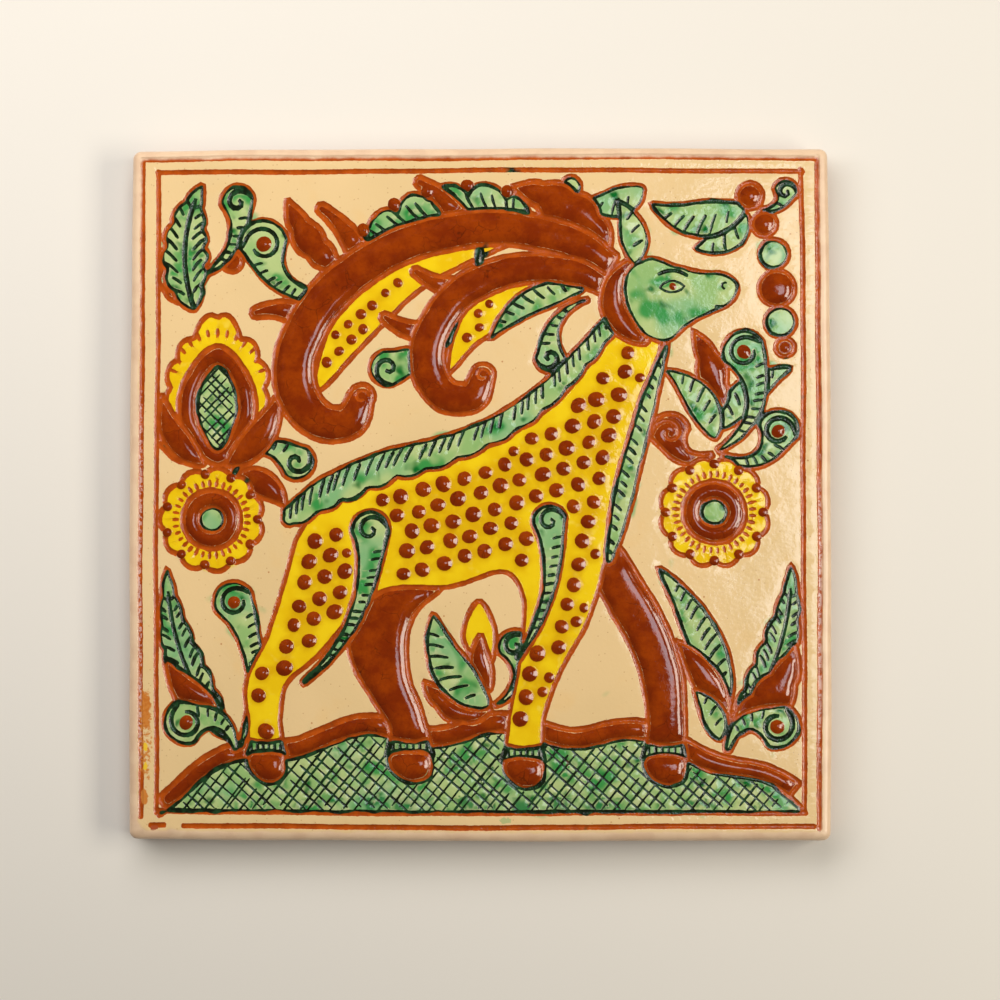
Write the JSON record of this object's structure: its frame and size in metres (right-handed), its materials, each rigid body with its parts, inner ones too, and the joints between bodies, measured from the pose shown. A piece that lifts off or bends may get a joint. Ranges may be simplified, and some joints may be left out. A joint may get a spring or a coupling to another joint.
{
  "type": "decorative ceramic wall tile",
  "caption": "Square glazed clay tile with a scratched and slip-painted stag among plants, on a hatched hill inside a double border line.",
  "frame": {"origin": "centre of the back, on the surface that the tile lies on", "axes": "+Z out of the painted face, +X to the right of the picture, +Y to its top"},
  "size_m": [0.2, 0.1976, 0.012],
  "materials": {
    "glazed_clay": "cream slip under a clear gloss glaze, with green and yellow glazes, raised brown slip and scratched outlines"
  },
  "bodies": {
    "root": {"tile": "glazed_clay"}
  },
  "joints": []
}
